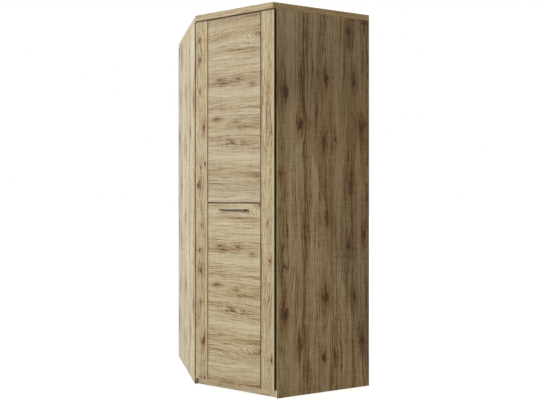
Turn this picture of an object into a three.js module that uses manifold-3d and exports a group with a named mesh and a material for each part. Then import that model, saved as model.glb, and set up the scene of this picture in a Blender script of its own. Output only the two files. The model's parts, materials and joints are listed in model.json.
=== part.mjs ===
// Corner wardrobe, five-sided in plan, with one door that closes across the cut-off corner.
// Millimetres. +Z is up, the door faces -Y and the room corner lies towards +Y.
// The front line joins the front outer corners of the two side panels.

import * as THREE from "three";
import { mergeVertices } from "three/addons/utils/BufferGeometryUtils.js";
import Module from "manifold-3d";

const wasm = await Module();
wasm.setup();

// Whole wardrobe
const totalHeight = 2050;
const wallRun = 900; // from the room corner to the outside of a side panel, along either wall
const sideDepth = 543; // a side panel, from the wall to its front edge
const seatGap = 0.3; // clearance left where one piece rests on or in another
const overrun = 5; // how far a cutting shape runs past the surface it cuts

// Carcass boards
const boardThickness = 16;
const topThickness = 32;
const topOverhang = 22; // top board past the front edge of a side panel
const boardSetback = 10.5; // front edges of bottom board and hat shelf behind the front line
const plinthHeight = 40;
const plinthSetback = 14; // plinth's face behind the front line

// Back sheets and the post that joins them in the room corner
const sheetThickness = 3;
const sheetSetback = 10; // from the wall to the back of the sheet
const sheetGrooveDepth = 8;
const postWidth = 45;

// Hat shelf, on pins
const hatSpace = 302; // clear height above the shelf
const shelfEndGap = 1;
const pinRadius = 2.5;
const pinInPanel = 9;
const pinUnderShelf = 8;
const pinSetback = 90; // from either end of a side panel

// Dowels between the side panels and the top and bottom boards
const dowelRadius = 4;
const dowelInLong = 20; // length in the edge of a board
const dowelInShort = 10; // length in the face of a board
const dowelSetback = 60; // from either end of a side panel

// Clothes rail, hung under the hat shelf
const railRadius = 12.5;
const railWall = 1.2;
const railLength = 800;
const railSetback = 330; // behind the front line
const railDrop = 62; // hat shelf to the rail's middle
const hangerInset = 60; // from a rail end to its hanger
const hangerThickness = 12;
const hangerRim = 4; // metal round the rail
const hangerFootWidth = 44;
const hangerFootThickness = 4;
const hangerNeckWidth = 16;

// Feet under the bottom board
const footRadius = 20;
const footBaseThickness = 6;
const footStemRadius = 12;
const footFlangeRadius = 28;
const footFlangeThickness = 4;
const footSpacing = 420; // between the two feet, along the line from the door to the room corner
const cornerFootSetback = 90; // from the room corner

// Door
const doorRecess = 7.5; // back of the door behind the front line
const doorSideGap = 11.8; // from the front outer corner of a side panel to the door's edge
const doorTopGap = 3; // below the top board
const stileWidth = 76;
const stileThickness = 20;
const bevelWidth = 9;
const bevelDepth = 2.5;
const panelThickness = 16;
const splitShare = 0.492; // of the door's height, from its bottom to the joint between its panels
const splitChamfer = 4.5;
const shadowGapWidth = 3.5; // dark line beside each stile
const shadowGapDepth = 4;
const tongueThickness = 6;
const tongueReach = 8;
const tongueSetback = 5; // from the back of the door

// Handle
const handleLength = 160;
const handleDrop = 38; // joint between the door's panels to the middle of the handle
const handleProjection = 26; // from the face of the panel
const handleEndLength = 16;
const handleBarHeight = 9;
const handleBarDepth = 8;
const handleCornerRadius = 6;
const handleEdgeRadius = 2;
const handleScrewRadius = 2;
const handleScrewInEnd = 12;
const screwHeadRadius = 4;
const screwHeadHeight = 2.5;

// Hinges: each turns on one pin beside the door's edge
const hingeCount = 4;
const hingeEndDistance = 110; // from either end of the door to the middle of the nearest hinge
const hingeAxisInset = 6; // from the front outer corner of the side panel to the pin
const hingeAxisLead = 3.5; // pin ahead of the front line
const hingePinRadius = 1.8;
const hingeRunningGap = 0.1; // between the pin and the eyes of the cup
const hingeEyeRadius = 3.6;
const hingeArmHeight = 20;
const hingeArmThickness = 1.6;
const hingeArmJog = 12; // from the front end of the side panel to the arm's step up to the plate
const hingeEarThickness = 1.5;
const hingeArmLength = 50; // along the side panel
const hingeEarHeight = 9;
const hingePinHeadRadius = 2.8;
const hingePinHeadHeight = 1.5;
const cupRadius = 17.5;
const cupDepth = 11.5;
const cupWall = 1.5;
const cupEdgeDistance = 22; // from the door's edge to the middle of the cup
const cupRimWidth = 2;
const cupFlangeThickness = 1.2;
const cupWingWidth = 14;
const cupWingLength = 62;
const hingePlateHeight = 6; // off the side panel
const hingePlateLength = 40;
const hingePlateWidth = 14;
const hingePlateLine = 37; // from the side panel's front edge to the plate's screws
const hingeWingThickness = 2;
const hingeWingWidth = 16;
const hingeWingLength = 52;

// Pads that the door closes on
const padRadius = 5;
const padThickness = 2.5;
const padInset = 40; // from the door's right edge

// Segments round a full circle
const fineSegments = 32;
const roundSegments = 20;
const smallSegments = 12;

// Places that follow from the sizes above
const quarterTurn = Math.PI / 2;
const wallTurn = Math.PI / 4; // each wall runs at this angle to the door
const alongShare = Math.cos(wallTurn);
const cornerReach = (wallRun + sideDepth) * alongShare; // front line to room corner
const frontHalf = (wallRun - sideDepth) * alongShare; // half the front line
const handleReach = panelThickness + seatGap + handleProjection - doorRecess;
const frontLineY = (handleReach - cornerReach) / 2;
const roomCornerY = frontLineY + cornerReach;
const topUnderside = totalHeight - topThickness;
const sidePanelTop = topUnderside - seatGap;
const bottomUnderside = plinthHeight + seatGap;
const bottomFace = bottomUnderside + boardThickness;
const innerRun = wallRun - boardThickness; // room corner to the inner face of a side panel
const boardRun = innerRun - seatGap;
const sheetFace = sheetSetback + sheetThickness;
const shelfHeight = topUnderside - hatSpace - boardThickness; // floor to the underside
const pinHeight = shelfHeight - seatGap - pinRadius;
const doorWidth = 2 * (frontHalf - doorSideGap);
const doorBottom = plinthHeight;
const doorTop = topUnderside - doorTopGap;
const doorHeight = doorTop - doorBottom;
const splitHeight = doorBottom + splitShare * doorHeight;
const handleHeight = splitHeight - handleDrop;
const panelHalf = doorWidth / 2 - stileWidth;
const hingeX = hingeAxisInset - frontHalf;
const hingeSpacing = (doorHeight - 2 * hingeEndDistance) / (hingeCount - 1);
const firstHinge = doorBottom + hingeEndDistance;
const hingeHeights = Array.from({ length: hingeCount }, (_, i) => firstHinge + i * hingeSpacing);

// Both sides: name, sign of X, turn of the wall's own frame about Z, and the way into the room.
// In a wall's frame X runs along the wall from the room corner and Y stands off the wall.
const sides = [
  { name: "left", sign: -1, turn: -3 * wallTurn, inward: 1 },
  { name: "right", sign: 1, turn: -wallTurn, inward: -1 },
];

const wood = { color: 0xc2b18c, roughness: 0.62, metalness: 0 };
const edgeWood = { color: 0xb9a680, roughness: 0.65, metalness: 0 };
const hardboard = { color: 0xd2c4a4, roughness: 0.7, metalness: 0 };
const steel = { color: 0xb8babd, roughness: 0.35, metalness: 1 };
const graphite = { color: 0x4a4344, roughness: 0.4, metalness: 0.7 };
const blackPlastic = { color: 0x161515, roughness: 0.5, metalness: 0 };
const beech = { color: 0xd9b98a, roughness: 0.7, metalness: 0 };
const clearRubber = { color: 0xd8d8d2, roughness: 0.5, metalness: 0 };

// A closed geometry as a solid that can be joined and cut.
function solidOf(geometry) {
  const bare = new THREE.BufferGeometry();
  const source = geometry.index ? geometry.toNonIndexed() : geometry;
  bare.setAttribute("position", source.getAttribute("position"));
  const merged = mergeVertices(bare);
  const mesh = new wasm.Mesh({
    numProp: 3,
    vertProperties: merged.attributes.position.array,
    triVerts: new Uint32Array(merged.index.array),
  });
  return new wasm.Manifold(mesh);
}

function geometryOf(solid) {
  const mesh = solid.getMesh();
  const geometry = new THREE.BufferGeometry();
  geometry.setAttribute("position", new THREE.BufferAttribute(mesh.vertProperties, 3));
  geometry.setIndex(new THREE.BufferAttribute(mesh.triVerts, 1));
  const faceted = geometry.toNonIndexed();
  faceted.computeVertexNormals();
  return faceted;
}

function cut(geometry, tools) {
  return geometryOf(tools.reduce((left, tool) => left.subtract(solidOf(tool)), solidOf(geometry)));
}

function join(geometries) {
  const [first, ...others] = geometries.map(solidOf);
  return geometryOf(others.reduce((whole, other) => whole.add(other), first));
}

// An outline in X and Y, raised from Z = 0 to the given height.
function prism(points, height) {
  const shape = new THREE.Shape(points.map(([x, y]) => new THREE.Vector2(x, y)));
  return new THREE.ExtrudeGeometry(shape, { depth: height, bevelEnabled: false });
}

// An outline in Y and Z, drawn out along X and centred on it.
function beam(points, length) {
  const turned = new THREE.Matrix4().makeBasis(
    new THREE.Vector3(0, 1, 0),
    new THREE.Vector3(0, 0, 1),
    new THREE.Vector3(1, 0, 0),
  );
  return prism(points, length).applyMatrix4(turned).translate(-length / 2, 0, 0);
}

// A box given by its low and high corner.
function block(low, high) {
  const size = high.map((value, i) => value - low[i]);
  const middle = high.map((value, i) => (value + low[i]) / 2);
  return new THREE.BoxGeometry(...size).translate(...middle);
}

// Round rods along each axis, from a start point, for the given length.
function rodZ(radius, start, length, segments) {
  const rod = new THREE.CylinderGeometry(radius, radius, length, segments);
  return rod.rotateX(quarterTurn).translate(start[0], start[1], start[2] + length / 2);
}

function rodX(radius, start, length, segments) {
  const rod = new THREE.CylinderGeometry(radius, radius, length, segments);
  return rod.rotateZ(quarterTurn).translate(start[0] + length / 2, start[1], start[2]);
}

function rodY(radius, start, length, segments) {
  const rod = new THREE.CylinderGeometry(radius, radius, length, segments);
  return rod.translate(start[0], start[1] + length / 2, start[2]);
}

// A profile of radius and height pairs, from axis to axis, turned about Y.
function turnedY(profile, segments) {
  return new THREE.LatheGeometry(profile.map(([r, h]) => new THREE.Vector2(r, h)), segments);
}

function piece(parent, name, geometry, finish, place = [0, 0, 0]) {
  const mesh = new THREE.Mesh(geometry, new THREE.MeshStandardMaterial(finish));
  mesh.name = name;
  mesh.position.set(...place);
  parent.add(mesh);
  return mesh;
}

// A point in the corner's frame: so far along a wall, and so far out from it.
function wallPoint(sign, run, out) {
  return [sign * (run - out) * alongShare, -(run + out) * alongShare];
}

// Where a line parallel to a side panel meets a line parallel to the front, in the corner's frame.
function frontPoint(sign, run, setback) {
  const y = setback - cornerReach;
  return [sign * (run / alongShare + y), y];
}

// The five-sided outline of a board between the walls, the side panels and the door.
function fiveSided(run, out, front) {
  const sideEnds = (sign) => [wallPoint(sign, run, out), front(sign)];
  const [leftBack, leftFront] = sideEnds(-1);
  const [rightBack, rightFront] = sideEnds(1);
  return [leftBack, leftFront, rightFront, rightBack];
}

function dowelPlaces() {
  return [dowelSetback, sideDepth - dowelSetback];
}

function pinPlaces() {
  return [pinSetback, sideDepth - pinSetback];
}

// Holes for the dowels that stand in the top edge of a side panel, in a wall's frame.
function topDowelHoles(side) {
  const start = sidePanelTop - dowelInLong - seatGap;
  const length = dowelInLong + dowelInShort + 3 * seatGap;
  const x = wallRun - boardThickness / 2;
  const radius = dowelRadius + seatGap;
  return dowelPlaces().map((out) => rodZ(radius, [x, side.inward * out, start], length, smallSegments));
}

// Holes for the dowels that lie between a side panel and the bottom board, in a wall's frame.
function bottomDowelHoles(side) {
  const start = boardRun - dowelInLong - seatGap;
  const length = dowelInLong + dowelInShort + 3 * seatGap;
  const z = bottomUnderside + boardThickness / 2;
  const radius = dowelRadius + seatGap;
  return dowelPlaces().map((out) => rodX(radius, [start, side.inward * out, z], length, smallSegments));
}

function pinHoles(side) {
  const radius = pinRadius + seatGap;
  const length = overrun + pinInPanel + seatGap;
  const start = innerRun - overrun;
  const place = (out) => [start, side.inward * out, pinHeight];
  return pinPlaces().map((out) => rodX(radius, place(out), length, smallSegments));
}

// A side panel stands on the floor, with a groove near the wall for the back sheet.
function sidePanel(side) {
  const outline = [
    [innerRun, 0],
    [wallRun, 0],
    [wallRun, sideDepth],
    [innerRun, sideDepth],
    [innerRun, sheetFace + seatGap],
    [innerRun + sheetGrooveDepth, sheetFace + seatGap],
    [innerRun + sheetGrooveDepth, sheetSetback - seatGap],
    [innerRun, sheetSetback - seatGap],
  ].map(([run, out]) => [run, side.inward * out]);
  const holes = [...topDowelHoles(side), ...bottomDowelHoles(side), ...pinHoles(side)];
  return cut(prism(outline, sidePanelTop), holes);
}

function topBoard() {
  const front = (sign) => wallPoint(sign, wallRun, sideDepth + topOverhang);
  const outline = [[0, 0], ...fiveSided(wallRun, 0, front)];
  const holes = sides.flatMap((side) => topDowelHoles(side).map((hole) => hole.rotateZ(side.turn)));
  const board = prism(outline, topThickness).translate(0, 0, topUnderside);
  return cut(board, holes);
}

function bottomBoard() {
  const front = (sign) => frontPoint(sign, boardRun, boardSetback);
  const outline = [[0, 0], ...fiveSided(boardRun, 0, front)];
  const holes = sides.flatMap((side) => bottomDowelHoles(side).map((hole) => hole.rotateZ(side.turn)));
  const board = prism(outline, boardThickness).translate(0, 0, bottomUnderside);
  return cut(board, holes);
}

// The hat shelf stops at the back sheets and is notched round the corner post.
function hatShelf() {
  const run = innerRun - shelfEndGap;
  const out = sheetFace + shelfEndGap;
  const notch = postWidth + shelfEndGap;
  const outline = [
    wallPoint(1, notch, notch),
    wallPoint(-1, notch, out),
    ...fiveSided(run, out, (sign) => frontPoint(sign, run, boardSetback)),
    wallPoint(1, notch, out),
  ];
  return prism(outline, boardThickness);
}

// The plinth closes the space under the bottom board, its ends along the side panels.
function plinth() {
  const faceEnd = (sign) => frontPoint(sign, boardRun, plinthSetback);
  const backEnd = (sign) => frontPoint(sign, boardRun, plinthSetback + boardThickness);
  return prism([faceEnd(-1), faceEnd(1), backEnd(1), backEnd(-1)], plinthHeight);
}

function backSheet(side) {
  const from = postWidth - sheetGrooveDepth + seatGap;
  const to = innerRun + sheetGrooveDepth - seatGap;
  const edges = [sheetSetback * side.inward, sheetFace * side.inward].sort((a, b) => a - b);
  return block([from, edges[0], bottomFace + seatGap], [to, edges[1], sidePanelTop]);
}

// The post stands in the room corner and takes the edges of both back sheets.
function cornerPost() {
  const floor = postWidth - sheetGrooveDepth;
  const low = sheetSetback - seatGap;
  const high = sheetFace + seatGap;
  const onLeft = [[postWidth, low], [floor, low], [floor, high], [postWidth, high]];
  const onRight = onLeft.map(([run, out]) => [out, run]).reverse();
  const corners = [[0, 0], [postWidth, 0], ...onLeft, [postWidth, postWidth], ...onRight, [0, postWidth]];
  const outline = corners.map(([run, out]) => wallPoint(-1, run, out));
  const start = bottomFace + seatGap;
  const hole = postPinRod(pinRadius + seatGap, overrun, pinInPanel + seatGap);
  return cut(prism(outline, sidePanelTop - start).translate(0, 0, start), [hole]);
}

// The rod of the pin in the post, in the corner's frame: so far out of the post and so far in.
function postPinRod(radius, outside, inside) {
  const start = [postWidth - inside, postWidth / 2, pinHeight];
  return rodX(radius, start, inside + outside, smallSegments).rotateZ(sides[0].turn);
}

function rail() {
  const start = [-railLength / 2, 0, 0];
  const boreStart = [start[0] - overrun, 0, 0];
  const outer = rodX(railRadius, start, railLength, roundSegments);
  const bore = rodX(railRadius - railWall, boreStart, railLength + 2 * overrun, roundSegments);
  return cut(outer, [bore]);
}

// A hanger holds the rail in an eye below a foot that is screwed to the shelf.
function railHanger() {
  const half = hangerThickness / 2;
  const top = railDrop - seatGap;
  const foot = block(
    [-half, -hangerFootWidth / 2, top - hangerFootThickness],
    [half, hangerFootWidth / 2, top],
  );
  const neck = block([-half, -hangerNeckWidth / 2, 0], [half, hangerNeckWidth / 2, top]);
  const eyeRadius = railRadius + seatGap + hangerRim;
  const eye = rodX(eyeRadius, [-half, 0, 0], hangerThickness, roundSegments);
  const holeLength = hangerThickness + 2 * overrun;
  const hole = rodX(railRadius + seatGap, [-half - overrun, 0, 0], holeLength, roundSegments);
  return cut(join([foot, neck, eye]), [hole]);
}

function foot() {
  const underside = plinthHeight;
  const profile = [
    [0, 0],
    [footRadius, 0],
    [footRadius, footBaseThickness],
    [footStemRadius, footBaseThickness],
    [footStemRadius, underside - footFlangeThickness],
    [footFlangeRadius, underside - footFlangeThickness],
    [footFlangeRadius, underside],
    [0, underside],
  ];
  return turnedY(profile, roundSegments).rotateX(quarterTurn);
}

// A stile with bevelled front edges and a groove for the tongues of the panels.
// X runs from the door's outer edge inwards, and the sign turns it for the other side.
function stile(inwards, tools) {
  const grooveFloor = stileWidth - tongueReach;
  const grooveFront = -tongueSetback - tongueThickness;
  const bevelFoot = bevelDepth - stileThickness;
  const outline = [
    [0, 0],
    [stileWidth, 0],
    [stileWidth, -tongueSetback],
    [grooveFloor, -tongueSetback],
    [grooveFloor, grooveFront],
    [stileWidth, grooveFront],
    [stileWidth, bevelFoot],
    [stileWidth - bevelWidth, -stileThickness],
    [bevelWidth, -stileThickness],
    [0, bevelFoot],
  ].map(([x, y]) => [inwards * x, y]);
  return cut(prism(outline, doorHeight), tools);
}

// Where the cups sit in the left stile, which starts at the bottom of the door.
function cupPockets() {
  const radius = cupRadius + seatGap;
  const start = -cupDepth - seatGap;
  const length = cupDepth + seatGap + overrun;
  const place = (height) => [cupEdgeDistance, start, height - doorBottom];
  return hingeHeights.map((height) => rodY(radius, place(height), length, fineSegments));
}

// The plan of a door panel: a tongue on either side and a step that leaves the dark line.
function panelOutline() {
  const edge = panelHalf - seatGap;
  const tip = panelHalf + tongueReach - seatGap;
  const face = panelHalf - shadowGapWidth;
  const tongueBack = -tongueSetback - seatGap;
  const tongueFront = seatGap - tongueSetback - tongueThickness;
  const step = shadowGapDepth - panelThickness;
  const right = [
    [edge, 0],
    [edge, tongueBack],
    [tip, tongueBack],
    [tip, tongueFront],
    [edge, tongueFront],
    [edge, step],
    [face, step],
    [face, -panelThickness],
  ];
  return [...right, ...right.map(([x, y]) => [-x, y]).reverse()];
}

// A shape that takes the front edge off a panel at the joint, above or below the given height.
function splitTool(height, up) {
  const face = -panelThickness;
  const far = height + up * overrun;
  const outline = [
    [face, height - up * splitChamfer],
    [face + splitChamfer, height],
    [face + splitChamfer, far],
    [face - overrun, far],
    [face - overrun, height - up * splitChamfer],
  ];
  return beam(outline, doorWidth);
}

function upperPanel() {
  const bottom = splitHeight + seatGap / 2;
  const panel = prism(panelOutline(), doorTop - bottom).translate(0, 0, bottom);
  return cut(panel, [splitTool(bottom, -1)]);
}

function lowerPanel() {
  const top = splitHeight - seatGap / 2;
  const panel = prism(panelOutline(), top - doorBottom).translate(0, 0, doorBottom);
  const length = panelThickness + 2 * overrun;
  const holes = handleScrewPlaces().map((x) => {
    const start = [x, overrun - length, handleHeight];
    return rodY(handleScrewRadius + seatGap, start, length, smallSegments);
  });
  return cut(panel, [splitTool(top, 1), ...holes]);
}

function handleScrewPlaces() {
  const reach = (handleLength - handleEndLength) / 2;
  return [-reach, reach];
}

// A rounded rectangle about the middle, as points of its four corner arcs.
function roundedRectangle(width, height, radius) {
  const steps = 3;
  const points = [];
  for (let corner = 0; corner < 4; corner++) {
    const signX = corner === 0 || corner === 3 ? 1 : -1;
    const signY = corner < 2 ? 1 : -1;
    for (let step = 0; step <= steps; step++) {
      const angle = (corner + step / steps) * quarterTurn;
      const x = signX * (width / 2 - radius) + radius * Math.cos(angle);
      const y = signY * (height / 2 - radius) + radius * Math.sin(angle);
      points.push([x, y]);
    }
  }
  return points;
}

function handleBar() {
  const length = handleLength - 2 * handleEndLength - 2 * seatGap;
  return beam(roundedRectangle(handleBarDepth, handleBarHeight, handleEdgeRadius), length);
}

// An end of the handle: a foot on the panel whose outer front corner is rounded.
function handleEnd(sign) {
  const half = handleEndLength / 2;
  const steps = 5;
  const corner = [];
  for (let step = 0; step <= steps; step++) {
    const angle = (step / steps) * quarterTurn;
    const x = half - handleCornerRadius + handleCornerRadius * Math.cos(angle);
    const y = handleCornerRadius - handleProjection - handleCornerRadius * Math.sin(angle);
    corner.push([x, y]);
  }
  const outline = [[-half, 0], [half, 0], ...corner, [-half, -handleProjection]];
  const body = prism(outline.map(([x, y]) => [sign * x, y]), handleBarHeight);
  const start = [0, -handleScrewInEnd - seatGap, handleBarHeight / 2];
  const length = handleScrewInEnd + seatGap + overrun;
  const hole = rodY(handleScrewRadius + seatGap, start, length, smallSegments);
  return cut(body, [hole]).translate(0, 0, -handleBarHeight / 2);
}

function handleScrew() {
  const tip = -panelThickness - seatGap - handleScrewInEnd;
  const profile = [
    [0, tip],
    [handleScrewRadius, tip],
    [handleScrewRadius, seatGap],
    [screwHeadRadius, seatGap],
    [screwHeadRadius, seatGap + screwHeadHeight],
    [0, seatGap + screwHeadHeight],
  ];
  return turnedY(profile, smallSegments);
}

function hingeEyeHeight() {
  return hingeArmHeight / 2 + seatGap + hingeEarHeight;
}

// A hole that clears the pin by the given gap, measured at the middle of its flats.
function eyeHole(gap) {
  const radius = (hingePinRadius + gap) / Math.cos(Math.PI / smallSegments);
  const half = hingeEyeHeight() + overrun;
  return rodZ(radius, [0, 0, -half], 2 * half, smallSegments);
}

// The cup and its flange on the back of the door, with two ears round the door's edge to the pin.
function hingeCup() {
  const edge = doorSideGap - hingeAxisInset;
  const back = doorRecess + hingeAxisLead;
  const middle = edge + cupEdgeDistance;
  const low = back + seatGap;
  const high = low + cupFlangeThickness;
  const profile = [
    [0, back - cupDepth],
    [cupRadius, back - cupDepth],
    [cupRadius, low],
    [cupRadius + cupRimWidth, low],
    [cupRadius + cupRimWidth, high],
    [cupRadius - cupWall, high],
    [cupRadius - cupWall, back + cupWall - cupDepth],
    [0, back + cupWall - cupDepth],
  ];
  const cup = turnedY(profile, fineSegments).translate(middle, 0, 0);
  const wingFrom = middle - cupWingWidth / 2;
  const wingHalf = cupWingLength / 2;
  const wing = block([wingFrom, low, -wingHalf], [wingFrom + cupWingWidth, high, wingHalf]);
  const outside = edge - seatGap - hingeEarThickness;
  const half = hingeEarThickness / 2;
  const earLow = hingeArmHeight / 2 + seatGap;
  const ears = [-1, 1].flatMap((sign) => {
    const from = Math.min(sign * earLow, sign * hingeEyeHeight());
    const to = from + hingeEarHeight;
    return [
      block([outside, low, from], [middle, high, to]),
      block([outside, -half, from], [edge - seatGap, high, to]),
      block([0, -half, from], [edge - seatGap, half, to]),
      rodZ(hingeEyeRadius, [0, 0, from], hingeEarHeight, smallSegments),
    ];
  });
  const wellStart = [middle, back + cupWall - cupDepth, 0];
  const well = rodY(cupRadius - cupWall, wellStart, cupDepth + overrun, fineSegments);
  return cut(join([cup, wing, ...ears]), [well, eyeHole(hingeRunningGap)]);
}

// The arm: an eye on the pin, a strip round the side panel's front end, and a flat on the plate.
function hingeArm() {
  // Points along the panel's front end and off it, from the panel's front outer corner.
  const place = ([along, off]) => [
    (along + off) * alongShare - hingeAxisInset,
    (along - off) * alongShare + hingeAxisLead,
  ];
  const half = hingeArmThickness / 2;
  const pinAlong = (hingeAxisInset - hingeAxisLead) * alongShare;
  const pinOff = (hingeAxisInset + hingeAxisLead) * alongShare;
  const strip = seatGap + hingeArmThickness;
  const leg = boardThickness + seatGap;
  const step = hingeArmJog + hingeArmThickness;
  const flat = leg + hingePlateHeight + seatGap;
  const outline = [
    [pinAlong - half, pinOff],
    [pinAlong - half, seatGap],
    [leg, seatGap],
    [leg, -step],
    [flat, -step],
    [flat, -hingeArmLength],
    [flat + hingeArmThickness, -hingeArmLength],
    [flat + hingeArmThickness, -hingeArmJog],
    [leg + hingeArmThickness, -hingeArmJog],
    [leg + hingeArmThickness, strip],
    [pinAlong + half, strip],
    [pinAlong + half, pinOff],
  ].map(place);
  const sheet = prism(outline, hingeArmHeight).translate(0, 0, -hingeArmHeight / 2);
  const eye = rodZ(hingeEyeRadius, [0, 0, -hingeArmHeight / 2], hingeArmHeight, smallSegments);
  return cut(join([sheet, eye]), [eyeHole(seatGap)]);
}

// The pin has a head above and a riveted end below, each just clear of the outer eyes.
function hingePin() {
  const reach = hingeEyeHeight() + seatGap;
  const end = reach + hingePinHeadHeight;
  const profile = [
    [0, -end],
    [hingePinHeadRadius, -end],
    [hingePinHeadRadius, -reach],
    [hingePinRadius, -reach],
    [hingePinRadius, reach],
    [hingePinHeadRadius, reach],
    [hingePinHeadRadius, end],
    [0, end],
  ];
  return turnedY(profile, smallSegments).rotateX(quarterTurn);
}

// The mounting plate on the inner face of the left side panel, in that wall's frame.
function hingePlate() {
  const face = innerRun - seatGap;
  const line = sideDepth - hingePlateLine;
  const ridgeFrom = line - hingePlateLength / 2;
  const ridge = block(
    [face - hingePlateHeight, ridgeFrom, -hingePlateWidth / 2],
    [face, ridgeFrom + hingePlateLength, hingePlateWidth / 2],
  );
  const wing = block(
    [face - hingeWingThickness, line - hingeWingWidth / 2, -hingeWingLength / 2],
    [face, line + hingeWingWidth / 2, hingeWingLength / 2],
  );
  return join([ridge, wing]);
}

function closingPad() {
  return rodY(padRadius, [0, 0, 0], padThickness, smallSegments);
}

function addSide(corner, side) {
  const wall = new THREE.Group();
  wall.rotation.z = side.turn;
  corner.add(wall);
  piece(wall, `${side.name}_side_panel`, sidePanel(side), wood);
  piece(wall, `${side.name}_back_sheet`, backSheet(side), hardboard);
  const dowelLength = dowelInLong + dowelInShort;
  dowelPlaces().forEach((out, i) => {
    const y = side.inward * out;
    const end = i ? "front" : "rear";
    const upright = rodZ(dowelRadius, [0, 0, 0], dowelLength, smallSegments);
    const flat = rodX(dowelRadius, [0, 0, 0], dowelLength, smallSegments);
    const x = wallRun - boardThickness / 2;
    const z = bottomUnderside + boardThickness / 2;
    piece(wall, `${side.name}_top_dowel_${end}`, upright, beech, [x, y, sidePanelTop - dowelInLong]);
    piece(wall, `${side.name}_bottom_dowel_${end}`, flat, beech, [boardRun - dowelInLong, y, z]);
  });
  pinPlaces().forEach((out, i) => {
    const end = i ? "front" : "rear";
    const pin = rodX(pinRadius, [0, 0, 0], pinUnderShelf + pinInPanel, smallSegments);
    const place = [innerRun - pinUnderShelf, side.inward * out, pinHeight];
    piece(wall, `${side.name}_shelf_pin_${end}`, pin, steel, place);
  });
  return wall;
}

function addCarcass(corner) {
  piece(corner, "top_board", topBoard(), wood);
  piece(corner, "bottom_board", bottomBoard(), wood);
  piece(corner, "hat_shelf", hatShelf(), wood, [0, 0, shelfHeight]);
  piece(corner, "plinth", plinth(), edgeWood);
  piece(corner, "rear_corner_post", cornerPost(), wood);
  piece(corner, "corner_shelf_pin", postPinRod(pinRadius, pinUnderShelf, pinInPanel), steel);
  const railY = railSetback - cornerReach;
  const railZ = shelfHeight - railDrop;
  piece(corner, "clothes_rail", rail(), steel, [0, railY, railZ]);
  const hangerX = railLength / 2 - hangerInset;
  piece(corner, "left_rail_hanger", railHanger(), steel, [-hangerX, railY, railZ]);
  piece(corner, "right_rail_hanger", railHanger(), steel, [hangerX, railY, railZ]);
  piece(corner, "corner_foot", foot(), blackPlastic, [0, -cornerFootSetback, 0]);
  piece(corner, "middle_foot", foot(), blackPlastic, [0, -cornerFootSetback - footSpacing, 0]);
}

function addHinges(front, leftWall) {
  hingeHeights.forEach((height, i) => {
    const name = `hinge_${i + 1}`;
    const place = [hingeX, -hingeAxisLead, height];
    piece(leftWall, `${name}_plate`, hingePlate(), steel, [0, 0, height]);
    piece(front, `${name}_arm`, hingeArm(), steel, place);
    piece(front, `${name}_pin`, hingePin(), steel, place);
    piece(front, `${name}_cup`, hingeCup(), steel, place);
  });
}

function addHandle(door) {
  const face = -panelThickness - seatGap;
  const barY = face - handleProjection + handleBarDepth / 2;
  piece(door, "handle_bar", handleBar(), graphite, [0, barY, handleHeight]);
  handleScrewPlaces().forEach((x, i) => {
    const { name, sign } = sides[i];
    piece(door, `handle_end_${name}`, handleEnd(sign), blackPlastic, [x, face, handleHeight]);
    piece(door, `handle_screw_${name}`, handleScrew(), steel, [x, 0, handleHeight]);
  });
}

function addDoor(front) {
  const door = new THREE.Group();
  door.position.y = doorRecess;
  front.add(door);
  const edge = doorWidth / 2;
  piece(door, "left_stile", stile(1, cupPockets()), wood, [-edge, 0, doorBottom]);
  piece(door, "right_stile", stile(-1, []), wood, [edge, 0, doorBottom]);
  piece(door, "upper_panel", upperPanel(), wood);
  piece(door, "lower_panel", lowerPanel(), wood);
  const padX = edge - padInset;
  const lowerZ = bottomUnderside + boardThickness / 2;
  const upperZ = shelfHeight + boardThickness / 2;
  piece(door, "lower_closing_pad", closingPad(), clearRubber, [padX, seatGap, lowerZ]);
  piece(door, "upper_closing_pad", closingPad(), clearRubber, [padX, seatGap, upperZ]);
  addHandle(door);
}

function buildWardrobe() {
  const wardrobe = new THREE.Group();
  const corner = new THREE.Group();
  corner.position.y = roomCornerY;
  const front = new THREE.Group();
  front.position.y = frontLineY;
  wardrobe.add(corner, front);
  const [leftWall] = sides.map((side) => addSide(corner, side));
  addCarcass(corner);
  addHinges(front, leftWall);
  addDoor(front);
  return wardrobe;
}

export default buildWardrobe();
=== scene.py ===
import json
from math import pi, radians, sqrt

import bmesh
import bpy
from mathutils import Matrix, Vector


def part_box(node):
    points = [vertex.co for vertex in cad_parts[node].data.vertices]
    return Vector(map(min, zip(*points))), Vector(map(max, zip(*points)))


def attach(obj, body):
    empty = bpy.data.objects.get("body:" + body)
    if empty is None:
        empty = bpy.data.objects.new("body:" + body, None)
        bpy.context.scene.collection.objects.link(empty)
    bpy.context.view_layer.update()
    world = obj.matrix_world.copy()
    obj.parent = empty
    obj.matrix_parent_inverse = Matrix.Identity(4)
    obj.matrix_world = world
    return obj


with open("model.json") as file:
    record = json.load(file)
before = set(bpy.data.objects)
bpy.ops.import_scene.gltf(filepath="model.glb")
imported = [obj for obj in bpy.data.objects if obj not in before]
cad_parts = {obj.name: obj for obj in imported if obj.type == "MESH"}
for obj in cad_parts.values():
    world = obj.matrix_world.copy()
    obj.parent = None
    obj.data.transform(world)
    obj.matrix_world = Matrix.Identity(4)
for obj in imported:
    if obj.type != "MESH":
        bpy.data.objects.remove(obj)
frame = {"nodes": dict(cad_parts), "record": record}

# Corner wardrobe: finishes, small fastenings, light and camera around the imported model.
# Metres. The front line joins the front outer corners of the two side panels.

MM = 0.001
HALF_ROOT = sqrt(0.5)
WHITE = (1.0, 1.0, 1.0, 1.0)
NODES = frame["nodes"]
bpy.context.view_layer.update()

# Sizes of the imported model's boards
SIDE_DEPTH = 0.543
BEVEL_WIDTH = 9.0 * MM
TONGUE = 8.0 * MM
PANEL_GAP = 3.2 * MM

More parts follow.
